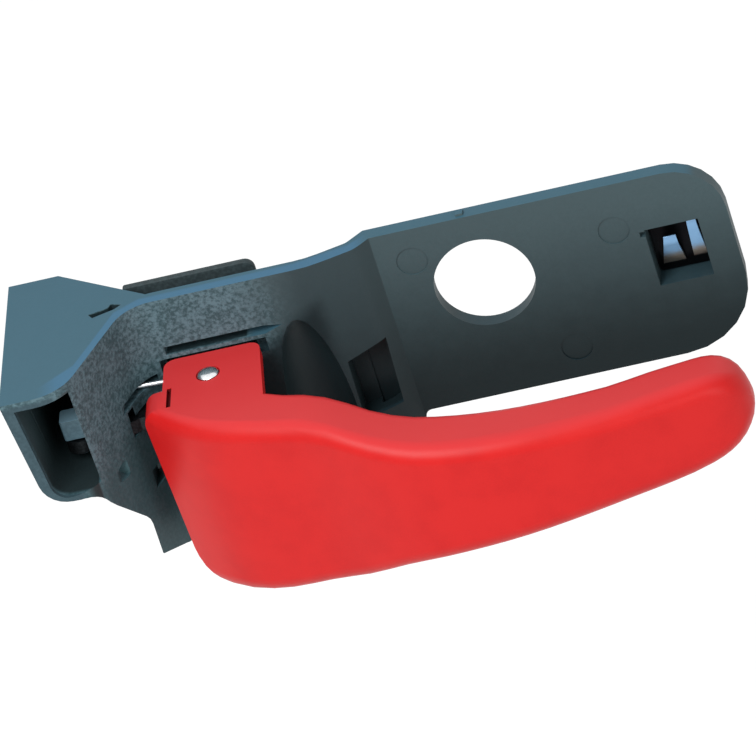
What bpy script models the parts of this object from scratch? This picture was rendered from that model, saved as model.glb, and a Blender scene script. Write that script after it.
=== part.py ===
# Inside door handle: moulded carrier, hinged pull lever, return spring, crank and rod clip.
# Sizes are in millimetres in the carrier's own layout: X runs along the handle from the fold
# between hinge wall and plate, +Y runs into the door, and Z is 0 at the carrier's top edge.
# The finished part is in metres, with its origin on the plate's rear face.

import math

import bmesh
import bpy
from mathutils import Vector

MM = 0.001
past = 1.0  # how far a cutter runs past what it cuts

# Clearances
gap = 0.3  # between two pieces that touch or are pressed together
running = 0.3  # round the turning pin

# Carrier
plate_length = 75.6
plate_height = 45.7
plate_top_radius = 11.5
plate_bottom_radius = 17.0
wall = 3.6
wall_forward = 6.0  # the hinge wall stands this far in front of the plate
wall_height = 59.0
skin = 2.2  # walls of the crank box
box_front = -34.0
box_back = 12.5
box_back_width = 11.1
box_height = 28.4
box_lean = 3.0  # the box's left wall comes in by this much at its foot
box_room = 11.3  # from the rod clip's axis to the box's left side
mouth_lean = 0.4
ramp_reach = 21.1  # from the pin's axis to the slanted wall, half way along its slope
ramp_slope = 2.1  # millimetres in Y for each one in X
ramp_radius_front = 10.0
ramp_radius_back = 9.0
web_height = 16.5  # the web under the box, where it meets the leg
hole_x = 21.1
hole_drop = 17.1
hole_radius = 10.9

# Back cover
cover_front = 3.0
cover_thick = 1.6
cover_drop = 0.8
cover_half = 14.5
cover_shift = -1.1

# Lever and its hinge
pin_x = -39.4
pin_forward = 8.75  # from the hinge wall to the pin's axis
pin_radius = 2.35
pin_proud = 0.7
lever_middle = -34.8
lever_half = 19.6
lever_dip = 5.0  # the lobe hangs this far below the lower ear
lever_overhang = 15.2
lever_slant = 3.0
lever_tip = plate_length - 0.5
ear_thick = 2.5
ear_reach_left = 10.0
ear_reach_right = 11.7

# Stack on the pin, from the upper ear down
spring_wire = 0.55
spring_room = 2.05  # from the pin's surface to the middle of the wire
spring_turns = 3
crank_thick = 3.0
crank_hub_wall = 3.1
crank_width = 3.2
crank_joggle = 2.4  # the crank's outer end is bent up by this much
bush_wall = 1.2
bush_flange = 1.5
bush_flange_thick = 0.8
lug_thick = 4.2
lug_wall = 2.2
ring_thick = 0.8
ring_wall = 2.2
groove = 0.5

# Rod clip on the crank's end
clip_reach = 8.7  # from the slanted wall to the clip's axis
clip_stem = 1.4
clip_length = 6.2
clip_depth = 5.0
clip_height = 4.8

# Trim clip, in its pocket in the plate
pocket_right = plate_length - 6.6
pocket_left = pocket_right - 11.8
pocket_top = -13.0
pocket_bottom = -27.5
pocket_depth = 6.0
clip_sheet = 0.5

# Places that follow from the sizes above
pin_y = -(wall_forward + pin_forward)
ramp_x = pin_x - ramp_reach
ramp_y = (box_front - wall_forward) / 2
clip_x = ramp_x - clip_reach
clip_y = pin_y - 4.05
box_left = clip_x - box_room
mouth_right = clip_x + 3.2
diagonal_end = ramp_x + 11.0  # where the box's diagonal rear wall meets the hinge wall
leg_left = ramp_x + 0.2
cover_left = pin_x + cover_shift - cover_half
cover_right = pin_x + cover_shift + cover_half
rib_back = cover_front - gap
lever_left = pin_x - lever_overhang
ear_left = pin_x - ear_reach_left
ear_right = pin_x + ear_reach_right
window = (ear_left - 1.0, ear_right + 0.9)

# Heights that follow from the sizes above
ear_top = lever_middle + lever_half
ear_foot = ear_top - ear_thick
low_ear_top = lever_middle - lever_half + ear_thick
low_ear_foot = lever_middle - lever_half
lever_foot = low_ear_foot - lever_dip
spring_radius = pin_radius + spring_room
spring_pitch = 2 * spring_wire + 0.06
spring_high = ear_foot - gap - spring_wire
spring_low = spring_high - spring_turns * spring_pitch
crank_top = spring_low - spring_wire - gap
crank_foot = crank_top - crank_thick
upper_lug_top = crank_foot - gap - bush_flange_thick - gap
lower_lug_foot = low_ear_top + gap + bush_flange_thick + gap
bush_radius = pin_radius + running + bush_wall
lug_radius = bush_radius + gap + lug_wall
hinge_room = max(lug_radius, pin_radius + running + crank_hub_wall) + 2.4  # hollow in the lever
pin_foot = low_ear_foot - gap - ring_thick - 1.4
origin = Vector((42.0, wall, -plate_height / 2))


def rounded(corners, closed=True, step=math.radians(15)):
    """The line through corners (a, b, radius), with each corner turned into an arc."""
    path = []
    for i, (a, b, radius) in enumerate(corners):
        here = Vector((a, b))
        if radius == 0 or (not closed and i in (0, len(corners) - 1)):
            path.append(here)
            continue
        back = (Vector(corners[i - 1][:2]) - here).normalized()
        ahead = (Vector(corners[(i + 1) % len(corners)][:2]) - here).normalized()
        turn = math.pi - back.angle(ahead)
        centre = here + (back + ahead).normalized() * (radius / math.cos(turn / 2))
        arm = here + back * (radius * math.tan(turn / 2)) - centre
        sign = -1 if back.cross(ahead) > 0 else 1
        steps = max(2, round(turn / step))
        for k in range(steps + 1):
            angle = sign * turn * k / steps
            cos, sin = math.cos(angle), math.sin(angle)
            path.append(centre + Vector((arm.x * cos - arm.y * sin, arm.x * sin + arm.y * cos)))
    return path


def offset(path, distance):
    """The open path moved to its left by distance."""
    moved = []
    for i, here in enumerate(path):
        before = (here - path[i - 1]).normalized() if i else (path[1] - here).normalized()
        after = (path[i + 1] - here).normalized() if i < len(path) - 1 else before
        normal = Vector((-before.y, before.x)) + Vector((-after.y, after.x))
        scale = 2 / normal.length_squared
        moved.append(here + normal * (distance * scale))
    return moved


def between(path, low, high):
    """The stretch of a path whose X lies between low and high, with its ends on them."""
    kept = []
    for a, b in zip(path, path[1:]):
        for x in (low, high):
            if min(a.x, b.x) < x < max(a.x, b.x):
                kept.append(a.lerp(b, (x - a.x) / (b.x - a.x)))
        if low <= b.x <= high:
            kept.append(b)
    if low <= path[0].x <= high:
        kept.insert(0, path[0])
    return sorted(kept, key=lambda point: point.x)


def circle(centre, radius, sides=32):
    """Points of a regular polygon round centre."""
    turns = [2 * math.pi * (k + 0.5) / sides for k in range(sides)]
    return [Vector(centre) + radius * Vector((math.cos(t), math.sin(t))) for t in turns]


def smooth(points):
    """A function through points (x, y) with no corners, for an outline given by a few stations."""
    slopes = []
    for i in range(len(points)):
        low, high = points[max(i - 1, 0)], points[min(i + 1, len(points) - 1)]
        slopes.append((high[1] - low[1]) / (high[0] - low[0]))

    def value(x):
        x = min(max(x, points[0][0]), points[-1][0])
        i = max(k for k in range(len(points) - 1) if points[k][0] <= x)
        (x0, y0), (x1, y1) = points[i], points[i + 1]
        width = x1 - x0
        t = (x - x0) / width
        start = (1 + 2 * t) * (1 - t) ** 2 * y0 + t * (1 - t) ** 2 * width * slopes[i]
        return start + t * t * (3 - 2 * t) * y1 + t * t * (t - 1) * width * slopes[i + 1]

    return value


def new_object(name, mesh_edit):
    """A mesh object whose points were set out in the carrier's millimetres."""
    bmesh.ops.remove_doubles(mesh_edit, verts=mesh_edit.verts, dist=1e-4)
    bmesh.ops.recalc_face_normals(mesh_edit, faces=mesh_edit.faces)
    for vert in mesh_edit.verts:
        vert.co = (vert.co - origin) * MM
    mesh = bpy.data.meshes.new(name)
    mesh_edit.to_mesh(mesh)
    mesh_edit.free()
    obj = bpy.data.objects.new(name, mesh)
    bpy.context.collection.objects.link(obj)
    return obj


def prism(name, outline, low, high, along="Z"):
    """The outline, given across the axis in X, Y, Z order, extruded from low to high."""
    places = {
        "X": lambda p: (low, p[0], p[1]),
        "Y": lambda p: (p[0], low, p[1]),
        "Z": lambda p: (p[0], p[1], low),
    }
    shift = Vector([high - low if axis == along else 0 for axis in "XYZ"])
    edit = bmesh.new()
    face = edit.faces.new([edit.verts.new(places[along](point)) for point in outline])
    grown = bmesh.ops.extrude_face_region(edit, geom=[face])["geom"]
    bmesh.ops.translate(edit, verts=[v for v in grown if isinstance(v, bmesh.types.BMVert)], vec=shift)
    return new_object(name, edit)


def block(name, x, y, z):
    return prism(name, [(x[0], y[0]), (x[1], y[0]), (x[1], y[1]), (x[0], y[1])], z[0], z[1])


def pillar(name, radius, low, high, sides=32):
    """A round prism on the pin's axis."""
    return prism(name, circle((pin_x, pin_y), radius, sides), low, high)


def loft(name, rings):
    """A skin over rings of equally many points, closed by a face at each end."""
    edit = bmesh.new()
    verts = [[edit.verts.new(point) for point in ring] for ring in rings]
    edit.faces.new(verts[0])
    edit.faces.new(verts[-1])
    for a, b in zip(verts, verts[1:]):
        for k in range(len(a)):
            n = (k + 1) % len(a)
            edit.faces.new((a[k], a[n], b[n], b[k]))
    return new_object(name, edit)


def turned(name, centre, profile, sides=32):
    """A solid of revolution about the vertical through centre, from (radius, height) points."""
    return loft(name, [[(p.x, p.y, z) for p in circle(centre, r, sides)] for r, z in profile])


def combine(target, tool, operation="DIFFERENCE"):
    """Cuts, joins or intersects the target with the tool, which is left out of the build."""
    modifier = target.modifiers.new(tool.name, "BOOLEAN")
    modifier.object = tool
    modifier.operation = operation
    tool.hide_render = True
    tool.display_type = "WIRE"


def cut(target, *tools):
    for tool in tools:
        combine(target, tool)


def join(target, *tools):
    for tool in tools:
        combine(target, tool, "UNION")


def finish(obj, name, red, green, blue, roughness, metallic=0.0):
    """Gives the object its own material, with the colour as a screen shows it."""
    material = bpy.data.materials.new(name)
    material.use_nodes = True
    shader = material.node_tree.nodes["Principled BSDF"]
    linear = [((c / 255 + 0.055) / 1.055) ** 2.4 for c in (red, green, blue)]
    shader.inputs["Base Color"].default_value = (*linear, 1)
    shader.inputs["Roughness"].default_value = roughness
    shader.inputs["Metallic"].default_value = metallic
    obj.data.materials.append(material)


def hang(name, x, y, z, *pieces):
    """Puts an empty on a joint's axis and parents its pieces to it, where they are."""
    empty = bpy.data.objects.new(name, None)
    empty.location = (Vector((x, y, z)) - origin) * MM
    bpy.context.collection.objects.link(empty)
    bpy.context.view_layer.update()
    for piece in pieces:
        piece.parent = empty
        piece.matrix_parent_inverse = empty.matrix_world.inverted()
    return empty


def ramp_at(y):
    """X of the slanted wall's front face at a depth."""
    return ramp_x + (y - ramp_y) / ramp_slope


def front_path():
    """Front face of box, slanted wall, hinge wall and plate, seen from above."""
    return rounded(
        [
            (box_left - past, box_front, 0),
            (ramp_at(box_front), box_front, ramp_radius_front),
            (ramp_at(-wall_forward), -wall_forward, ramp_radius_back),
            (-13.5, -wall_forward, 22),
            (-3.2, -wall_forward / 2, 6),
            (0, 0, 0),
            (plate_length + past, 0, 0),
        ],
        closed=False,
        step=math.radians(9),
    )


def back_path():
    """Rear face of the crank box, seen from above."""
    return [
        Vector((box_left - past, box_back)),
        Vector((box_left + box_back_width, box_back)),
        Vector((diagonal_end, wall - wall_forward)),
    ]


def outline_front():
    """The carrier's outline as seen from the front."""
    return rounded(
        [
            (box_left, 0, 0),
            (plate_length, 0, plate_top_radius),
            (plate_length, -plate_height, plate_bottom_radius),
            (0.6, -plate_height, 1.5),
            (-4.0, -wall_height, 6),
            (leg_left + 4.5, -wall_height, 0.8),
            (leg_left, -wall_height + 4.5, 0.8),
            (leg_left, -box_height - web_height, 8),
            (leg_left - 6.5, -box_height + 0.2, 5),
            (box_left + box_lean, -box_height + 2.2, 6),
        ]
    )


def make_lug(name, top):
    """Half-round lug on the hinge wall, for one of the pin's bushes."""
    back = -wall_forward + 1.5
    arc = [p for p in circle((pin_x, pin_y), lug_radius) if p.y < pin_y]
    arc.sort(key=lambda p: p.x)
    outline = [Vector((pin_x - lug_radius, back)), *arc, Vector((pin_x + lug_radius, back))]
    return prism(name, outline, top - lug_thick, top)


def make_ribs():
    """Ribs and thicker places behind the hinge wall and the plate."""
    front = -wall_forward + 2.0
    foot = -wall_height - past
    ribs = [
        ("scoop_backing", (-29.5, -8.0), (front + 0.6, wall - 2.0), (foot, -12.0)),
        ("fold_backing", (-13.5, 2.0), (wall - 1.6, wall - 0.2), (-45.0, -20.0)),
        ("foot_rib", (leg_left - past, -28.0), (front, rib_back), (foot, -wall_height + skin)),
        ("side_rib", (cover_right - 2.6, cover_right - 0.4), (front, rib_back), (foot, -6.0)),
        (
            "pocket_backing",
            (pocket_left - skin, pocket_right + skin),
            (wall - past, pocket_depth + skin),
            (pocket_bottom - skin, pocket_top + skin),
        ),
    ]
    return [block(*rib) for rib in ribs]


def make_carrier():
    front = front_path()
    rear = back_path()
    strip = front + offset(front, wall)[::-1]
    carrier = prism("carrier_housing", strip, -wall_height - past, 0)
    plan = between(offset(front, wall / 2), box_left - past, diagonal_end) + rear[::-1]
    join(
        carrier,
        prism("box_block", plan, -box_height - past, 0),
        *make_ribs(),
        make_lug("upper_lug", upper_lug_top),
        make_lug("lower_lug", lower_lug_foot + lug_thick),
    )
    outline = prism("front_outline", outline_front(), box_front - 3 * past, box_back + past, "Y")
    combine(carrier, outline, "INTERSECT")
    cut(carrier, *crank_box_cutters(front, rear))
    cut(carrier, *hinge_cutters())
    cut(carrier, *plate_cutters())
    join(carrier, block("gate_nub", (19.2, 20.8), (0.9, 2.5), (-0.6, 0.5)))
    finish(carrier, "black_glass_filled_plastic", 66, 80, 85, 0.62)
    return carrier


def crank_box_cutters(front, rear):
    """The box's hollow, its mouth, and the slot in its roof."""
    foot = -box_height + skin
    inner_left = box_left + skin + 0.3
    inner_right = diagonal_end - 4.6
    inner_front = between(offset(front, wall), box_left - past, inner_right)
    inner_rear = between(offset(rear, -skin), box_left - past, inner_right)
    cavity = prism("cavity", inner_front + inner_rear[::-1], -box_height - past, -skin)
    low_left = (box_left + box_lean + skin, foot, 4)
    inner = rounded([(inner_left, past, 0), (diagonal_end, past, 0), (diagonal_end, foot, 0), low_left])
    cavity_outline = prism("cavity_outline", inner, box_front - past, box_back + past, "Y")
    combine(cavity, cavity_outline, "INTERSECT")
    mouth = rounded(
        [
            (inner_left + 0.2, -skin, 0),
            (mouth_right, -skin, 0),
            (mouth_right + mouth_lean, foot, 0),
            low_left,
        ]
    )
    slot = [(-1.5, -5.7), (-0.5, -7.3), (4.3, -5.7), (5.9, -4.4), (3.5, -3.4), (2.8, -4.7)]
    roof_slot = [(ramp_x + x, y) for x, y in slot]
    return [
        cavity,
        prism("mouth", mouth, box_front - past, box_front + 12, "Y"),
        prism("roof_slot", roof_slot, -skin - past, past),
    ]


def slit(name, x, z):
    """A square-cornered cutter that passes through the hinge wall and the slanted wall."""
    corners = [(x[0], z[0]), (x[1], z[0]), (x[1], z[1]), (x[0], z[1])]
    return prism(name, corners, box_front + 14, wall - wall_forward + 0.05, "Y")


def hinge_cutters():
    """Windows for the ears, the crank and the spring's leg, the bores, and the finger recess."""
    room = 0.7  # round a moving piece
    leg_room = spring_wire + 0.4
    crank_low, crank_high = crank_foot - 0.5, crank_top + 0.5
    channel = [(-5.0, -4.15), (1.6, -1.15), (3.0, -1.15), (3.0, 6.75), (-5.0, 6.75)]
    light = [(-9.1, 3.3), (12.9, 3.3), (16.9, 2.6), (12.9, 1.2), (-9.1, 1.2)]
    light_slot = [(pin_x + x, ear_top + z) for x, z in light]
    fold_pocket = [(-11.6, -25.9), (-2.6, -23.7), (-3.1, -40.4), (-11.8, -41.3)]
    dimple = circle((ramp_x - 0.9, lever_middle + 5.1), 1.9, 20)
    scoop = bmesh.new()
    bmesh.ops.create_uvsphere(scoop, u_segments=28, v_segments=18, radius=1)
    for vert in scoop.verts:
        x, y, z = vert.co
        vert.co = (-19.5 + 7.2 * x, -wall_forward - 1 + 7.0 * y, -39 + 27 * z)
    bore = bush_radius + gap
    return [
        slit("ear_window", window, (ear_foot - room, ear_top + gap)),
        slit("low_ear_window", window, (low_ear_foot - room, low_ear_top + room)),
        slit("crank_notch", (ramp_x + 1.8, pin_x - 9.8), (crank_low, crank_high)),
        prism(
            "crank_channel",
            [(ramp_x + x, pin_y + y) for x, y in channel],
            crank_low,
            crank_high + crank_joggle,
        ),
        slit(
            "spring_slot",
            (ramp_x + 1.4, window[0] - 1.2),
            (spring_high - leg_room, spring_high + leg_room),
        ),
        slit("relief_notch", (ramp_x + 2.5, ramp_x + 8.0), (lever_middle - 6.2, lever_middle - 1.8)),
        prism("light_slot", light_slot, -wall_forward - 2, 2, "Y"),
        prism("fold_pocket", fold_pocket, -wall_forward - 2, wall - skin, "Y"),
        prism("dimple", dimple, ramp_y - 5, ramp_y - 1, "Y"),
        new_object("scoop", scoop),
        pillar("upper_bore", bore, upper_lug_top - lug_thick - past, upper_lug_top + past),
        pillar("lower_bore", bore, lower_lug_foot - past, lower_lug_foot + lug_thick + past),
    ]


def plate_cutters():
    key = (pocket_left - 1.1, pocket_left + past)
    tools = [
        prism("round_hole", circle((hole_x, -hole_drop), hole_radius, 64), -past, wall + past, "Y"),
        block(
            "clip_pocket",
            (pocket_left, pocket_right),
            (-past, pocket_depth),
            (pocket_bottom, pocket_top),
        ),
        block("pocket_key", key, (-past, 1.6), (pocket_top - 1.6, pocket_top - 0.3)),
    ]
    marks = ((7.5, -8.0), (plate_length - 24.6, -11.4), (plate_length - 39.6, -plate_height + 7.7))
    for k, mark in enumerate(marks):
        tools.append(prism(f"ejector_mark_{k}", circle(mark, 3.4, 28), -past, 0.25, "Y"))
    return tools


def make_cover():
    outline = rounded(
        [
            (cover_left, -cover_drop, 0.5),
            (cover_right, -cover_drop, 2.2),
            (cover_right, -wall_height + 0.5, 2),
            (leg_left + 0.5, -wall_height + 0.5, 2),
            (leg_left - 1.5, -box_height - 1.5, 2),
            (cover_left, -box_height - 1.5, 0),
        ]
    )
    cover = prism("back_cover", outline, cover_front, cover_front + cover_thick, "Y")
    finish(cover, "black_plastic", 52, 64, 67, 0.7)
    return cover


def along_lever(*stations):
    """A smooth function from stations, whose place is -1 at the lever's left end, 0 at the fold
    and 1 at its tip."""
    return smooth([(x * (lever_tip if x > 0 else -lever_left), y) for x, y in stations])


def lever_ring(x, rear, front, top, foot, steps=5):
    """The lever's rounded section at a station along it."""
    ring = []
    half = (top - foot) / 2
    corners = ((rear, top, 3.0), (front, top, 4.2), (front, foot, 4.2), (rear, foot, 3.0))
    for k, (side, end, radius) in enumerate(corners):
        radius = min(radius, 0.49 * (rear - front), 0.98 * half)
        y = side + (radius if side == front else -radius)
        z = end + (radius if end == foot else -radius)
        for n in range(steps + 1):
            angle = math.pi / 2 * (k + n / steps)
            ring.append((x, y + radius * math.cos(angle), z + radius * math.sin(angle)))
    return ring


def lever_body():
    """The lever's skin: sections along it, rounded off at its tip."""
    rear = along_lever(
        (-1, -17.0), (-0.93, -15.7), (-0.8, -15.7), (-0.56, -18.4), (-0.505, -24.8),
        (-0.303, -29.5), (-0.19, -32.1), (-0.046, -36.2), (0.087, -39.0), (0.318, -40.4),
        (0.598, -38.2), (0.738, -35.6), (0.877, -33.2), (1, -31.2),
    )
    front = along_lever(
        (-1, -22.5), (-0.864, -30.3), (-0.754, -35), (-0.55, -39.6), (-0.35, -43.5), (-0.11, -50),
        (0.08, -54), (0.32, -55), (0.6, -52), (0.88, -46.5), (1, -44),
    )
    half = along_lever(
        (-1, 1), (-0.303, 0.995), (-0.19, 0.923), (-0.046, 0.806), (0.087, 0.724),
        (0.318, 0.643), (0.598, 0.571), (0.738, 0.556), (0.877, 0.531), (1, 0.52),
    )
    dip = along_lever(
        (-1, 1), (-0.64, 1), (-0.52, 0.78), (-0.4, 0.52), (-0.28, 0.3), (-0.15, 0.18), (0.1, 0.14), (1, 0.1)
    )
    round_from = 11.0  # the tip's rounding starts this far from its end
    start = lever_tip - round_from
    stations = [lever_left + (start - lever_left) * k / 26 for k in range(27)]
    stations += [start + round_from * math.sin(math.pi / 2 * k / 8) for k in range(1, 9)]
    rings = []
    for x in stations:
        share = max(0.0, (x - start) / round_from)
        low_share = max(0.0, (x - start + 6) / (round_from + 6))
        taper = max(0.12, (1 - share**2.4) ** (1 / 2.4))
        low_taper = max(0.12, (1 - low_share**2.4) ** (1 / 2.4))
        thin = max(0.25, (1 - share**3.2) ** (1 / 2.4))
        middle = (rear(x) + front(x)) / 2
        depth = (rear(x) - front(x)) / 2 * thin
        top = half(x) * lever_half * taper
        foot = (half(x) * lever_half + dip(x) * lever_dip) * low_taper
        rings.append(lever_ring(x, middle + depth, middle - depth, lever_middle + top, lever_middle - foot))
    return loft("pull_lever", rings)


def make_lever():
    lever = lever_body()
    end = lever_tip + past
    hand = rounded(
        [
            (lever_left, ear_top + 0.01, 5),
            (end, ear_top + 0.01, 0),
            (end, lever_foot - 0.01, 0),
            (lever_left + lever_slant, lever_foot - 0.01, 9),
        ]
    )
    combine(lever, prism("lever_outline", hand, -60, -15, "Y"), "INTERSECT")
    cut(lever, pillar("hinge_room", hinge_room, lever_foot - past, ear_top + past, 40))
    rear_end = -wall_forward - gap
    front_end = rear_end - 22.2
    ear = rounded(
        [
            (ear_left, rear_end, 2.6),
            (ear_right - 0.6, rear_end, 2.6),
            (ear_right + 0.9, front_end, 0),
            (ear_left + 6.0, front_end, 0),
            (ear_left, front_end + 7.0, 0),
        ]
    )
    join(
        lever,
        prism("upper_ear", ear, ear_foot, ear_top),
        prism("lower_ear", ear, low_ear_foot, low_ear_top),
    )
    bore = pin_radius + gap
    groove_x = (ear_left + 1.0, ear_left + 2.0)
    cut(
        lever,
        block("ear_groove", groove_x, (front_end + 4.0, rear_end - 11.0), (ear_top - 1.2, ear_top + past)),
        pillar("upper_pin_bore", bore, ear_foot - past, ear_top + past),
        pillar("lower_pin_bore", bore, low_ear_foot - past, low_ear_top + past),
        prism("drive_slot", crank_tab(gap), crank_foot - gap, crank_top + gap),
    )
    finish(lever, "red_plastic", 222, 50, 48, 0.45)
    return lever


def crank_tab(grow):
    """Plan of the tab that locks the crank into the lever."""
    half = crank_width + grow
    end = pin_y - hinge_room - 3.2 - grow
    return [(pin_x - half, pin_y), (pin_x - half, end), (pin_x + half, end), (pin_x + half, pin_y)]


def make_crank():
    """Steel crank: a hub on the pin, a tab keyed to the lever, and an arm with the clip's eye."""
    crank = pillar("crank_arm", pin_radius + running + crank_hub_wall, crank_foot, crank_top)
    bend = ramp_x + 3.5
    line = rounded(
        [(pin_x, pin_y + 0.6, 0), (bend, pin_y + 2.15, 4), (clip_x, clip_y, 0)],
        closed=False,
        step=math.radians(8),
    )

    def bar(name, path, foot):
        sides = offset(path, crank_width / 2) + offset(path, -crank_width / 2)[::-1]
        return prism(name, sides, foot, foot + crank_thick)

    inner = [point for point in line if point.x > bend - 1] + [line[-2].lerp(line[-1], 0.5)]
    outer = [line[-2].lerp(line[-1], 0.3), line[-2].lerp(line[-1], 0.8)]
    eye = clip_stem + gap
    eye_foot = crank_foot + crank_joggle
    eye_top = eye_foot + crank_thick
    join(
        crank,
        bar("crank_bar", inner, crank_foot),
        bar("crank_end", outer, eye_foot),
        prism("crank_eye", circle((clip_x, clip_y), eye + 1.7, 24), eye_foot, eye_top),
        prism("drive_tab", crank_tab(0.0), crank_foot, crank_top),
    )
    cut(
        crank,
        pillar("crank_bore", pin_radius + gap, crank_foot - past, crank_top + past),
        prism("eye_bore", circle((clip_x, clip_y), eye, 24), eye_foot - past, eye_top + past),
    )
    finish(crank, "black_phosphated_steel", 52, 57, 60, 0.5, 0.6)
    return crank


def make_pin():
    groove_top = low_ear_foot - gap
    groove_foot = groove_top - ring_thick - 0.2
    r = pin_radius
    profile = [
        (0.2, ear_top + pin_proud),
        (0.5 * r, ear_top + 0.9 * pin_proud),
        (0.85 * r, ear_top + 0.6 * pin_proud),
        (r, ear_top),
        (r, groove_top),
        (r - groove, groove_top),
        (r - groove, groove_foot),
        (r, groove_foot),
        (r, pin_foot + 0.5),
        (r - 0.5, pin_foot),
    ]
    pin = turned("pivot_pin", (pin_x, pin_y), profile)
    finish(pin, "bright_steel", 235, 238, 240, 0.22, 1.0)
    return pin


def make_ring():
    """Open retaining ring in the pin's groove."""
    inner = pin_radius - groove + 0.15
    outer = inner + ring_wall
    mouth = math.radians(38)
    turns = [mouth + (2 * math.pi - 2 * mouth) * k / 22 for k in range(23)]
    arcs = [Vector((pin_x + outer * math.cos(t), pin_y + outer * math.sin(t))) for t in turns]
    arcs += [Vector((pin_x + inner * math.cos(t), pin_y + inner * math.sin(t))) for t in reversed(turns)]
    top = low_ear_foot - gap - 0.1
    ring = prism("pin_ring", arcs, top - ring_thick, top)
    finish(ring, "spring_steel", 120, 126, 130, 0.35, 1.0)
    return ring


def make_bush(name, lug_face, out):
    """Flanged nylon bush: its flange lies on the lug's outer face, out being up or down."""
    flange = lug_face + out * gap
    end = flange + out * bush_flange_thick
    inside = lug_face - out * (lug_thick - 0.4)
    wide = bush_radius + bush_flange
    profile = [(bush_radius, inside), (bush_radius, flange), (wide, flange), (wide, end)]
    bush = turned(name, (pin_x, pin_y), profile)
    low, high = sorted((inside, end))
    cut(bush, pillar(name + "_hole", pin_radius + running, low - past, high + past))
    finish(bush, name + "_nylon", 205, 203, 190, 0.5)
    return bush


def make_spring():
    """Torsion spring: coils round the pin, one leg to the carrier and one to the lever."""
    r = spring_radius
    start = math.radians(100)
    leg = ((ramp_x + 2.4, 6.45), (ramp_x + 6.5, 6.25), (pin_x - 7.6, 5.65))
    path = [(x, pin_y + y, spring_high) for x, y in leg]
    steps = spring_turns * 18
    sweep = 2 * math.pi * spring_turns
    for k in range(steps + 1):
        angle = start - sweep * k / steps
        z = spring_high - spring_pitch * spring_turns * k / steps
        path.append((pin_x + r * math.cos(angle), pin_y + r * math.sin(angle), z))
    angle = start - sweep
    reach = math.sqrt((hinge_room - 1.2) ** 2 - r**2)
    for share in (0.5, 1.0):
        x = pin_x + r * math.cos(angle) + reach * share * math.sin(angle)
        y = pin_y + r * math.sin(angle) - reach * share * math.cos(angle)
        path.append((x, y, spring_low))
    curve = bpy.data.curves.new("return_spring", "CURVE")
    curve.dimensions = "3D"
    curve.bevel_depth = spring_wire * MM
    curve.bevel_resolution = 2
    curve.use_fill_caps = True
    spline = curve.splines.new("POLY")
    spline.points.add(len(path) - 1)
    for point, place in zip(spline.points, path):
        point.co = (*((Vector(place) - origin) * MM), 1)
    spring = bpy.data.objects.new("return_spring", curve)
    bpy.context.collection.objects.link(spring)
    finish(spring, "spring_wire", 225, 228, 230, 0.3, 1.0)
    return spring


def make_rod_clip():
    """Plastic clip that turns in the crank's eye and holds the latch rod."""
    eye_foot = crank_foot + crank_joggle
    low = eye_foot + crank_thick + gap
    high = low + clip_height
    half_x, half_y = clip_length / 2, clip_depth / 2
    corners = [
        (clip_x - half_x, clip_y - half_y, 0.6),
        (clip_x + half_x, clip_y - half_y, 0.6),
        (clip_x + half_x, clip_y + half_y, 0.6),
        (clip_x - half_x, clip_y + half_y, 0.6),
    ]
    clip = prism("rod_clip", rounded(corners), low, high)
    stem = [
        (clip_stem, low + 0.6),
        (clip_stem, eye_foot - 0.3),
        (clip_stem + 0.8, eye_foot - 0.5),
        (clip_stem * 0.6, eye_foot - 1.7),
    ]
    join(clip, turned("clip_stem", (clip_x, clip_y), stem, 24))
    rod = prism("rod_bore", circle((clip_y, (low + high) / 2), 1.3, 20), clip_x - 5, clip_x + 5, "X")
    cut(clip, rod)
    finish(clip, "grey_plastic", 120, 140, 150, 0.5)
    return clip


def make_trim_clip():
    """Sheet steel clip in the plate's pocket: a back leaf and two tongues that grip a trim peg."""
    back = pocket_depth - gap
    corners = [
        (pocket_left + gap, pocket_top - gap, 0.8),
        (pocket_right - gap, pocket_top - gap, 0.8),
        (pocket_right - gap, pocket_bottom + gap, 0.8),
        (pocket_left + gap, pocket_bottom + gap, 0.8),
    ]
    clip = prism("trim_clip", rounded(corners), back - clip_sheet, back, "Y")
    foot = pocket_bottom + 0.6
    tip = 0.9  # the tongues' ends stop this far behind the plate's face
    tongues = (
        ("left_tongue", pocket_top - 3.3, (3.4, 6.1, 6.4, 1.0)),
        ("right_tongue", pocket_top - 0.5, (9.1, 11.2, 11.2, 8.0)),
    )
    for name, top, across in tongues:
        front = [(pocket_left + x, z) for x, z in zip(across, (top, top, foot, foot))]
        side = [
            (back - clip_sheet / 2, foot + clip_sheet),
            (tip + 0.4, top - 2.6),
            (tip, top),
            (tip + clip_sheet, top),
            (tip + 0.4 + clip_sheet, top - 2.6),
            (back - clip_sheet / 2, foot + 2.2),
        ]
        tongue = prism(name, side, pocket_left, pocket_right, "X")
        face = prism(name + "_front", front, -past, pocket_depth + past, "Y")
        combine(tongue, face, "INTERSECT")
        join(clip, tongue)
    finish(clip, "clip_steel", 140, 165, 188, 0.28, 1.0)
    return clip


def main():
    for obj in list(bpy.data.objects):
        bpy.data.objects.remove(obj)
    make_carrier()
    make_cover()
    make_bush("upper_bush", upper_lug_top, 1)
    make_bush("lower_bush", lower_lug_foot, -1)
    make_spring()
    make_trim_clip()
    lever = make_lever()
    crank = make_crank()
    pin = make_pin()
    ring = make_ring()
    hang("lever_axis", pin_x, pin_y, lever_middle, lever, crank, pin, ring)
    hang("rod_clip_axis", clip_x, clip_y, crank_top, make_rod_clip())


main()
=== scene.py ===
import math

import bmesh
import bpy
from mathutils import Matrix, Vector


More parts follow.
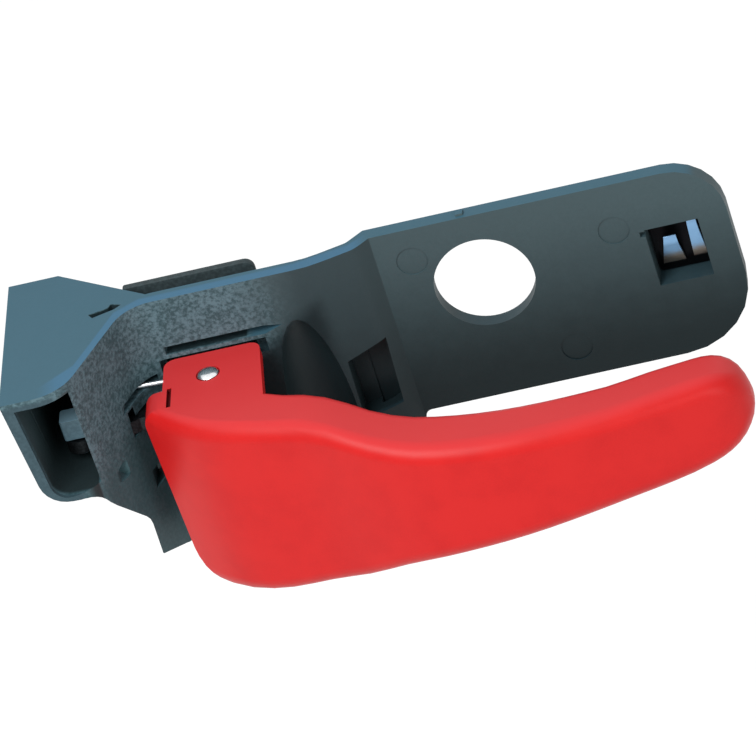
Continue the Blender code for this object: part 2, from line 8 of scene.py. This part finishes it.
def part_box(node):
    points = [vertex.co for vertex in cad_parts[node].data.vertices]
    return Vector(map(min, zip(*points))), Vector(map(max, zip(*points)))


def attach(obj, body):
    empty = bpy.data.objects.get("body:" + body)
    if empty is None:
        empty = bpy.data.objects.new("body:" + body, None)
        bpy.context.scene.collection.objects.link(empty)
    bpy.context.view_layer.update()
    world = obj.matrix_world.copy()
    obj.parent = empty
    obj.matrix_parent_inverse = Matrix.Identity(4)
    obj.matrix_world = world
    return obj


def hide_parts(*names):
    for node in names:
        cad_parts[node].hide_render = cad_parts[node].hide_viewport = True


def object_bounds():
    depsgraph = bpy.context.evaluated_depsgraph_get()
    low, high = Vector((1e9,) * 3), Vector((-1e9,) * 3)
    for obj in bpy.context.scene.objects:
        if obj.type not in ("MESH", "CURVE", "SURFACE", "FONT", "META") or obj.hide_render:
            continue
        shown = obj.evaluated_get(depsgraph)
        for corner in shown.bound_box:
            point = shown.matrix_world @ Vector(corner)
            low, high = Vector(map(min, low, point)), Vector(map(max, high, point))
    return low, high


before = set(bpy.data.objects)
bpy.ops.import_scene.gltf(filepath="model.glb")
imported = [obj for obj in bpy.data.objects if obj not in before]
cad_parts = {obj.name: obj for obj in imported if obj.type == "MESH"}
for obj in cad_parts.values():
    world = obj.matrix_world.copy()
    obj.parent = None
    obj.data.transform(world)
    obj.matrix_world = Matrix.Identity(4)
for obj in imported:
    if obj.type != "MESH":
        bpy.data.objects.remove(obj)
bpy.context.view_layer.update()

mm = 0.001
print("frame loaded:", sorted(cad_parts))


# Shader helpers

class Wire:  # one output socket, so that sums and products read as they are written
    def __init__(self, sheet, socket):
        self.sheet = sheet
        self.socket = socket

    def maths(self, operation, first, second):
        return self.sheet.node("ShaderNodeMath", {"operation": operation}, {0: first, 1: second})

    def __add__(self, other):
        return self.maths("ADD", self, other)

    def __sub__(self, other):
        return self.maths("SUBTRACT", self, other)

    def __rsub__(self, other):
        return self.maths("SUBTRACT", other, self)

    def __mul__(self, other):
        return self.maths("MULTIPLY", self, other)

    __radd__ = __add__
    __rmul__ = __mul__


class Sheet:  # one material and its nodes
    def __init__(self, name):
        self.material = bpy.data.materials.new(name)
        self.material.use_nodes = True
        self.tree = self.material.node_tree
        self.shader = self.tree.nodes["Principled BSDF"]
        self.place = self.node("ShaderNodeTexCoord", output="Object")
        self.normal = self.node("ShaderNodeTexCoord", output="Normal")

    def node(self, kind, settings=None, sockets=None, output=0):
        made = self.tree.nodes.new(kind)
        for key, value in (settings or {}).items():
            setattr(made, key, value)
        for key, value in (sockets or {}).items():
            self.feed(made.inputs[key], value)
        return Wire(self, made.outputs[output])

    def feed(self, socket, value):
        if isinstance(value, Wire):
            self.tree.links.new(value.socket, socket)
        else:
            socket.default_value = value

    def noise(self, size, detail=3.0, rough=0.55):  # size of a speck in millimetres
        sockets = {"Vector": self.place, "Scale": 1 / (size * mm), "Detail": detail, "Roughness": rough}
        return self.node("ShaderNodeTexNoise", {}, sockets)

    def fade(self, value, low, high):  # 0 below low, 1 above high, smooth between
        settings = {"interpolation_type": "SMOOTHSTEP"}
        return self.node("ShaderNodeMapRange", settings, {0: value, 1: low, 2: high})

    def within(self, value, low, high, soft):  # 1 between low and high
        return self.fade(value, low, low + soft) * (1 - self.fade(value, high - soft, high))

    def larger(self, first, second):
        return self.node("ShaderNodeMath", {"operation": "MAXIMUM"}, {0: first, 1: second})

    def axis(self, wire, letter):
        return self.node("ShaderNodeSeparateXYZ", {}, {0: wire}, "XYZ".index(letter))

    def mix(self, share, first, second):
        colours = [value if isinstance(value, Wire) else (*value, 1) for value in (first, second)]
        sockets = {0: share, 6: colours[0], 7: colours[1]}
        return self.node("ShaderNodeMix", {"data_type": "RGBA"}, sockets, 2)

    def bump(self, height, strength, depth):
        sockets = {"Height": height, "Strength": strength, "Distance": depth * mm}
        return self.node("ShaderNodeBump", {}, sockets)

    def surface(self, **values):
        for key, value in values.items():
            if isinstance(value, tuple):
                value = (*value, 1)
            self.feed(self.shader.inputs[key.replace("_", " ")], value)
        return self.material


# Pieces

def refined(nodeName, material, edge, segments=3, sharp=32):
    # The node's solid with its facets joined, its hard edges rounded and its curves shaded smooth.
    shape = bmesh.new()
    shape.from_mesh(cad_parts[nodeName].data)
    bmesh.ops.remove_doubles(shape, verts=shape.verts, dist=2e-6)
    bmesh.ops.dissolve_limit(shape, angle_limit=math.radians(0.4), verts=shape.verts, edges=shape.edges)
    bmesh.ops.join_triangles(
        shape, faces=[face for face in shape.faces if len(face.verts) == 3],
        angle_face_threshold=math.radians(12), angle_shape_threshold=math.radians(50),
    )
    mesh = bpy.data.meshes.new(nodeName + "_mesh")
    shape.to_mesh(mesh)
    shape.free()
    mesh.shade_smooth()
    piece = bpy.data.objects.new(nodeName + "_shape", mesh)
    bpy.context.scene.collection.objects.link(piece)
    mesh.materials.append(material)
    if edge:
        rounding = piece.modifiers.new("edges", "BEVEL")
        rounding.width = edge * mm
        rounding.segments = segments
        rounding.limit_method = "ANGLE"
        rounding.angle_limit = math.radians(sharp)
        rounding.miter_outer = "MITER_ARC"
    else:
        mesh.set_sharp_from_angle(angle=math.radians(sharp))
    weighted = piece.modifiers.new("shading", "WEIGHTED_NORMAL")
    weighted.keep_sharp = True
    return piece


def place(piece, nodeName, body):
    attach(piece, body)
    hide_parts(nodeName)
    print("made", piece.name)


# Carrier housing

carrierLook = {
    "wall": (0.118, 0.200, 0.232),
    "wallSpeck": (0.042, 0.084, 0.096),
    # painted shade for the lower wall near the lever
    "wallLow": (0.044, 0.106, 0.118),
    # painted light and painted shade for the plate, lighter at the top
    "plateHigh": (0.064, 0.102, 0.112),
    "plateLow": (0.004, 0.011, 0.013),
    # painted shade for the ramp that turns away from the light
    "ramp": (0.016, 0.027, 0.031),
    # painted light for up-facing faces
    "top": (0.057, 0.146, 0.200),
    # painted highlight for the rounded top edge
    "crest": (0.066, 0.185, 0.300),
    "rim": (0.042, 0.074, 0.092),  # the front edge of the box
    # painted shade inside the box, darker towards the bottom
    "insideHigh": (0.050, 0.078, 0.086),
    "insideLow": (0.020, 0.032, 0.035),
    # painted shade for the finger scoop and the holes
    "recess": (0.010, 0.019, 0.022),
    "speck": 0.85,  # millimetres, like all below
    "edge": 0.3,
    "roof": 22.85,
    "speckledLength": 30,  # from the lever's left end to where the speckled skin fades out
    "crease": -42.0,  # the fold between ramp and plate
    "stripe": (-98.3, -93.0, 4.6, 3.2),  # two places along the top edge, then the painted highlight's width at each
    "innerWall": (-26.8, -108.0, 0.476, -108.4),  # a point, the lean and the least x of the box's right wall
    "scoop": (-75.0, -55.0, 3.6),  # left, right, top of the painted shade
    "ledge": (-73.5, -60.0, 7.5),  # left, right, lowest
    "slot": (-104.6, -95.8, -11.6, -6.1),  # left, right, front, back
    "pit": (-100.2, -94.3, -18.8, -13.5),  # left, right, bottom, top
    "window": (-54.6, -44.6, -19.0, -0.5),
    "lightSlot": (-90.5, -72.5, 6.5, 14.0),
    "frontLine": (  # x and y of the front skin, seen from above
        (-113.9, -37.5), (-106.5, -31.9), (-98.3, -14.7), (-93.0, -10.1), (-58.6, -9.6), (-46.6, -7.0),
        (-42.0, -3.6),
    ),
}


def carrierPlastic():
    look = carrierLook
    low, high = (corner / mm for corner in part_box("carrier_housing"))
    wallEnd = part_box("pull_lever")[0].x / mm + look["speckledLength"]
    sheet = Sheet("carrierPlastic")
    fade, mix, within = sheet.fade, sheet.mix, sheet.within
    fine = sheet.noise(look["speck"], 5, 0.7)
    coarse = sheet.noise(4.5, 3, 0.6)
    x, y, z = (sheet.axis(sheet.place, letter) * (1 / mm) for letter in "XYZ")
    tilt = sheet.axis(sheet.normal, "Z")
    facing = 1 - fade(sheet.axis(sheet.normal, "Y"), 0.3, 0.6)

    front = look["frontLine"][0][1]  # the y of the front skin at this x
    for (startX, startY), (endX, endY) in zip(look["frontLine"], look["frontLine"][1:]):
        sockets = {0: x, 1: startX, 2: endX, 3: 0.0, 4: endY - startY}
        front = sheet.node("ShaderNodeMapRange", {}, sockets) + front
    depth = y - front

    onWall = 1 - fade(x + coarse * 8, wallEnd - 4, wallEnd + 10)
    wall = mix(fade(fine * 0.8 + coarse * 0.2, 0.40, 0.60), look["wallSpeck"], look["wall"])
    # painted shade: the wall turns darker and more teal towards the bottom, near the lever
    wall = mix((1 - fade(z + coarse * 6, -6, 8)) * 0.75, wall, look["wallLow"])
    # painted light and shade on the plate: lighter towards the top, darker towards the bottom
    light = fade(z + coarse * 5, low.z + 18, high.z + 1.5)
    plate = mix(light * (0.86 + fine * 0.28), look["plateLow"], look["plateHigh"])
    colour = mix(onWall, plate, wall)

    crease = look["crease"]
    # painted shade on the ramp that turns away towards the fold
    ramp = fade(x + coarse * 6, crease - 22, crease - 12) * (1 - fade(x, crease - 0.2, crease + 0.1))
    colour = mix(ramp * 0.5, colour, look["ramp"])

    # painted shade in the finger scoop behind the lever
    left, right, top = look["scoop"]
    rise = z - (x - left) * 0.6 + coarse * 3
    scoop = fade(x, left - 1, left + 1) * (1 - fade(x + coarse * 2, right - 1.5, right + 3))
    scoop = scoop * (1 - fade(rise, top - 3, top + 3)) * facing
    colour = mix(scoop * 0.92, colour, look["recess"])

    # painted light: up-facing faces take the lighter bluish top colour, strongest along the top edge and on
    # the ledge
    up = fade(tilt, 0.45, 0.95)
    atRim = fade(z, high.z - 3.2, high.z - 1.6)
    left, right, lowest = look["ledge"]
    ledge = fade(x, left, left + 3) * (1 - fade(x, right - 1, right)) * fade(z, lowest, lowest + 1)
    # painted highlight: a stripe along the front of the top edge and the rounded edges take the crest colour
    start, end, wide, narrow = look["stripe"]
    width = sheet.node("ShaderNodeMapRange", {}, {0: x, 1: start, 2: end, 3: wide, 4: narrow})
    leftOfPlate = 1 - fade(x, crease - 4, crease)
    stripe = (1 - fade(depth - width, -1.2, 0.0)) * fade(x, low.x + 7.5, low.x + 13.5) * leftOfPlate
    rounded = fade(tilt, 0.2, 0.5) * (1 - fade(tilt, 0.93, 0.995)) * leftOfPlate
    upper = mix(sheet.larger(rounded, stripe) * atRim, look["top"], look["crest"])
    colour = mix(up * (sheet.larger(atRim, ledge) * 0.8 + 0.14), colour, upper)

    # painted shade in the roof slot, the pit, the window and the light slot, below the front skin
    left, right, near, far = look["slot"]
    hollow = within(x, left, right, 0.5) * within(y, near, far, 0.5)
    hollow = hollow * within(z, look["roof"] - 6, look["roof"] - 0.1, 0.2)
    for name in ("pit", "window", "lightSlot"):
        left, right, bottom, top = look[name]
        hole = within(x, left, right, 0.3) * within(z, bottom, top, 0.3) * facing
        hollow = sheet.larger(hollow, hole * fade(depth, 0.5, 1.4))
    colour = mix(hollow * 0.88, colour, look["recess"])

    rim = (1 - fade(y, low.y + 0.6, low.y + 1.4)) * (1 - fade(z, look["roof"] - 1.5, look["roof"] - 0.5))
    colour = mix(rim * 0.8, colour, look["rim"])

    pointY, pointX, lean, leastX = look["innerWall"]
    rightWall = sheet.larger((y - pointY) * lean + pointX, leastX)
    inner = fade(x + z * 0.11, low.x + 3.3, low.x + 3.9)  # clear of the box's outer left side
    inner = inner * fade(y, low.y + 0.8, low.y + 2.5) * (1 - fade(y, high.y - 1.4, high.y - 0.8))
    inner = inner * (1 - fade(x - rightWall, 0.1, 0.6)) * (1 - fade(z, look["roof"] - 1.9, look["roof"] - 1.5))
    underside = (1 - fade(z, 3, 6)) * (1 - fade(tilt, -0.5, -0.2))
    # painted shade inside the box: darker than the outer wall and darker towards the bottom
    inside = mix(fade(z, -3, 15), look["insideLow"], look["insideHigh"])
    colour = mix(inner * (1 - underside), colour, inside)

    bump = sheet.bump(fine * 0.7 + coarse * 0.3, 0.4, 0.12)
    return sheet.surface(
        Base_Color=colour, Roughness=0.36 + fine * 0.26, Normal=bump, Specular_IOR_Level=0.2
    )


piece = refined("carrier_housing", carrierPlastic(), carrierLook["edge"], 2)
place(piece, "carrier_housing", "carrier")


# Back cover

coverLook = {"light": (0.048, 0.070, 0.076), "dark": (0.030, 0.044, 0.048), "speck": 0.8, "edge": 0.4}


def coverPlastic():
    sheet = Sheet("coverPlastic")
    fine = sheet.noise(coverLook["speck"], 3)
    colour = sheet.mix(sheet.fade(fine, 0.35, 0.7), coverLook["dark"], coverLook["light"])
    return sheet.surface(
        Base_Color=colour, Roughness=0.55 + fine * 0.2, Normal=sheet.bump(fine, 0.2, 0.08),
        Specular_IOR_Level=0.3,
    )


place(refined("back_cover", coverPlastic(), coverLook["edge"]), "back_cover", "carrier")


# Pull lever

leverLook = {
    "red": (0.70, 0.0125, 0.0115),
    "deep": (0.64, 0.009, 0.009),
    # painted sheen for the lever's up-facing faces
    "upper": (0.76, 0.046, 0.050),
    # painted shade for the groove between ear and lobe
    "groove": (0.16, 0.006, 0.008),
    "grain": 0.38,  # millimetres, like all below
    "edge": 0.3,
    "grooveAt": (-90.45, -89.35, 6.0, 7.55, -28.2, -20.8),  # left, right, bottom, top, front, back
}


def leverPlastic():
    look = leverLook
    sheet = Sheet("leverPlastic")
    grain = sheet.noise(look["grain"], 3, 0.6)
    cloud = sheet.noise(9, 2)
    share = sheet.fade(grain * 0.35 + cloud * 0.65, 0.30, 0.62)
    colour = sheet.mix(share, look["deep"], look["red"])
    # painted sheen: up-facing faces take the lighter, pinker upper colour
    up = sheet.fade(sheet.axis(sheet.normal, "Z"), 0.55, 0.98)
    colour = sheet.mix(up * 0.85, colour, look["upper"])
    x, y, z = (sheet.axis(sheet.place, letter) * (1 / mm) for letter in "XYZ")
    # painted shade in the groove between the ear and the lobe
    left, right, bottom, top, near, far = look["grooveAt"]
    groove = sheet.within(x, left, right, 0.05) * sheet.within(z, bottom, top, 0.1)
    groove = groove * sheet.within(y, near, far, 0.1)
    colour = sheet.mix(groove, colour, look["groove"])
    bump = sheet.bump(grain, 0.22, 0.05)
    return sheet.surface(
        Base_Color=colour, Roughness=0.34 + grain * 0.16, Normal=bump, Specular_IOR_Level=0.28
    )


place(refined("pull_lever", leverPlastic(), leverLook["edge"], 2), "pull_lever", "lever")


# Steel pieces

def steel(name, look):
    sheet = Sheet(name)
    streak = sheet.noise(look["streak"], 4, 0.6)
    colour = sheet.mix(sheet.fade(streak, 0.35, 0.65), look["dull"], look["bright"])
    return sheet.surface(
        Base_Color=colour, Roughness=look["roughness"] + streak * 0.15, Metallic=1.0,
        Normal=sheet.bump(streak, 0.12, 0.02),
    )


pinLook = {
    "bright": (0.93, 0.94, 0.95), "dull": (0.78, 0.80, 0.82), "roughness": 0.18, "streak": 0.5, "sharp": 40,
}
piece = refined("pivot_pin", steel("pinSteel", pinLook), 0, sharp=pinLook["sharp"])
place(piece, "pivot_pin", "lever")

wireLook = {"bright": (0.86, 0.88, 0.90), "dull": (0.62, 0.65, 0.68), "roughness": 0.22, "streak": 0.5}
springLook = {"sharp": 60}
ringLook = {"edge": 0.08}
wireSteel = steel("wireSteel", wireLook)
place(refined("pin_ring", wireSteel, ringLook["edge"]), "pin_ring", "lever")
piece = refined("return_spring", wireSteel, 0, sharp=springLook["sharp"])
place(piece, "return_spring", "carrier")

crankLook = {
    "bright": (0.045, 0.052, 0.057), "dull": (0.026, 0.030, 0.033), "roughness": 0.42, "streak": 0.5,
    "edge": 0.3,
}
piece = refined("crank_arm", steel("crankSteel", crankLook), crankLook["edge"])
place(piece, "crank_arm", "lever")


# Trim clip

trimClipLook = {
    # painted light at the top, painted shade at the foot and behind the blades
    "top": (0.24, 0.44, 0.68), "foot": (0.29, 0.26, 0.22), "behind": (0.012, 0.014, 0.016),
    "turn": 1.5,  # the height where the painted light gives way to painted shade, in millimetres
    "backY": 1.35, "edge": 0.08,
}


def trimClipSteel():
    look = trimClipLook
    sheet = Sheet("trimClipSteel")
    streak = sheet.noise(0.6, 3)
    # painted light and shade: the blades turn from lit and bluish at the top to shaded tan at the foot
    height = sheet.axis(sheet.place, "Z") + streak * 0.002
    share = sheet.fade(height, (look["turn"] - 1.2) * mm, (look["turn"] + 1.8) * mm)
    colour = sheet.mix(share, look["foot"], look["top"])
    # painted shade on the plate behind the blades
    back = sheet.fade(sheet.axis(sheet.place, "Y"), (look["backY"] - 0.3) * mm, look["backY"] * mm)
    colour = sheet.mix(back, colour, look["behind"])
    return sheet.surface(Base_Color=colour, Roughness=0.28 + streak * 0.2, Metallic=1.0)


piece = refined("trim_clip", trimClipSteel(), trimClipLook["edge"], 2)
place(piece, "trim_clip", "carrier")


# Bushes and rod clip

def plainPlastic(name, look):
    sheet = Sheet(name)
    grain = sheet.noise(look["grain"], 3)
    colour = sheet.mix(sheet.fade(grain, 0.35, 0.65), look["dark"], look["light"])
    # painted light: up-facing faces take the lighter top colour
    up = sheet.fade(sheet.axis(sheet.normal, "Z"), 0.6, 0.95)
    colour = sheet.mix(up, colour, look["top"])
    return sheet.surface(
        Base_Color=colour, Roughness=look["roughness"] + grain * 0.15,
        Normal=sheet.bump(grain, 0.2, 0.05),
    )


bushLook = {
    "light": (0.62, 0.60, 0.52), "dark": (0.52, 0.50, 0.43), "top": (0.60, 0.58, 0.50),
    "roughness": 0.42, "grain": 0.7, "edge": 0.1,
}
nylon = plainPlastic("bushNylon", bushLook)
place(refined("upper_bush", nylon, bushLook["edge"]), "upper_bush", "carrier")
place(refined("lower_bush", nylon, bushLook["edge"]), "lower_bush", "carrier")

clipLook = {
    # the clip's top colour is painted light on its up-facing faces
    "light": (0.15, 0.26, 0.32), "dark": (0.11, 0.20, 0.25), "top": (0.42, 0.70, 0.86),
    "roughness": 0.4, "grain": 0.7, "edge": 0.25,
}
piece = refined("rod_clip", plainPlastic("rodClipPlastic", clipLook), clipLook["edge"])
place(piece, "rod_clip", "clip")


# Studio

studio = {
    "floorDrop": 0.16,  # metres under the part
    "paper": (0.82, 0.82, 0.82, 1),
    "shadowed": (0.22, 0.22, 0.22, 1),  # what the camera sees of the floor, with its glow
    "glow": 0.9,
    "ambient": 0.36,
    "key": {"at": (-0.32, -0.60, 0.64), "size": 0.5, "level": 0.76, "tint": (0.96, 0.99, 1.0)},
    "fill": {"at": (0.65, -0.75, 0.25), "size": 0.6, "level": 0.22, "tint": (1.0, 1.0, 0.99)},
}


def seenWhite(tree):
    # 1 for the rays of the camera, of reflections and of clear materials
    rays = tree.nodes.new("ShaderNodeLightPath")
    total = tree.nodes.new("ShaderNodeMath")
    total.operation = "MAXIMUM"
    tree.links.new(rays.outputs["Is Camera Ray"], total.inputs[0])
    tree.links.new(rays.outputs["Is Glossy Ray"], total.inputs[1])
    last = tree.nodes.new("ShaderNodeMath")
    last.operation = "MAXIMUM"
    tree.links.new(total.outputs[0], last.inputs[0])
    tree.links.new(rays.outputs["Is Transmission Ray"], last.inputs[1])
    return last.outputs[0]


def makeFloor(lowest):
    shape = bmesh.new()
    bmesh.ops.create_grid(shape, x_segments=1, y_segments=1, size=6)
    bmesh.ops.translate(shape, verts=shape.verts, vec=(0, 0, lowest - studio["floorDrop"]))
    mesh = bpy.data.meshes.new("floor")
    shape.to_mesh(mesh)
    shape.free()
    floor = bpy.data.objects.new("floor", mesh)
    bpy.context.scene.collection.objects.link(floor)
    material = bpy.data.materials.new("floorPaper")
    material.use_nodes = True
    tree = material.node_tree
    tree.nodes.clear()
    paper = tree.nodes.new("ShaderNodeBsdfDiffuse")
    paper.inputs["Color"].default_value = studio["paper"]
    shadowed = tree.nodes.new("ShaderNodeBsdfDiffuse")
    shadowed.inputs["Color"].default_value = studio["shadowed"]
    glow = tree.nodes.new("ShaderNodeEmission")
    glow.inputs["Strength"].default_value = studio["glow"]
    both = tree.nodes.new("ShaderNodeAddShader")
    tree.links.new(shadowed.outputs[0], both.inputs[0])
    tree.links.new(glow.outputs[0], both.inputs[1])
    pick = tree.nodes.new("ShaderNodeMixShader")
    tree.links.new(seenWhite(tree), pick.inputs[0])
    tree.links.new(paper.outputs[0], pick.inputs[1])
    tree.links.new(both.outputs[0], pick.inputs[2])
    out = tree.nodes.new("ShaderNodeOutputMaterial")
    tree.links.new(pick.outputs[0], out.inputs["Surface"])
    mesh.materials.append(material)


def makeWorld():
    world = bpy.data.worlds.new("studio")
    bpy.context.scene.world = world
    world.use_nodes = True
    tree = world.node_tree
    background = tree.nodes["Background"]
    background.inputs["Color"].default_value = (1, 1, 1, 1)
    level = tree.nodes.new("ShaderNodeMapRange")
    level.inputs[3].default_value = studio["ambient"]
    level.inputs[4].default_value = 1.0
    tree.links.new(seenWhite(tree), level.inputs[0])
    tree.links.new(level.outputs[0], background.inputs["Strength"])


def makeLamp(name, target):
    lampFacts = studio[name]
    lamp = bpy.data.lights.new(name, "AREA")
    lamp.size = lampFacts["size"]
    lamp.color = lampFacts["tint"]
    at = Vector(lampFacts["at"])
    lamp.energy = lampFacts["level"] * math.pi**2 * (at - target).length_squared
    holder = bpy.data.objects.new(name, lamp)
    holder.location = at
    holder.rotation_euler = (target - at).to_track_quat("-Z", "Y").to_euler()
    bpy.context.scene.collection.objects.link(holder)


cameraFacts = {
    "azimuth": 10.77, "elevation": 32.06, "roll": 18.16,
    "aim": (-0.04943, -0.0036, -0.01211), "distance": 2.1488, "lens": 476.19,
}


def makeCamera():
    azimuth, elevation, roll = (math.radians(cameraFacts[key]) for key in ("azimuth", "elevation", "roll"))
    flat = math.cos(elevation)
    back = Vector((math.sin(azimuth) * flat, -math.cos(azimuth) * flat, math.sin(elevation)))
    right = Vector((math.cos(azimuth), math.sin(azimuth), 0))
    turn = Matrix((right, back.cross(right), back)).transposed() @ Matrix.Rotation(-roll, 3, "Z")
    camera = bpy.data.objects.new("camera", bpy.data.cameras.new("camera"))
    camera.data.lens = cameraFacts["lens"]
    camera.data.sensor_width = 36
    camera.data.clip_end = 100
    at = Vector(cameraFacts["aim"]) + back * cameraFacts["distance"]
    camera.matrix_world = Matrix.Translation(at) @ turn.to_4x4()
    bpy.context.scene.collection.objects.link(camera)
    bpy.context.scene.camera = camera


lowest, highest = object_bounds()
makeFloor(lowest.z)
makeWorld()
for lampName in ("key", "fill"):
    makeLamp(lampName, (lowest + highest) / 2)
makeCamera()
bpy.context.scene.view_settings.view_transform = "Standard"
print("studio ready")
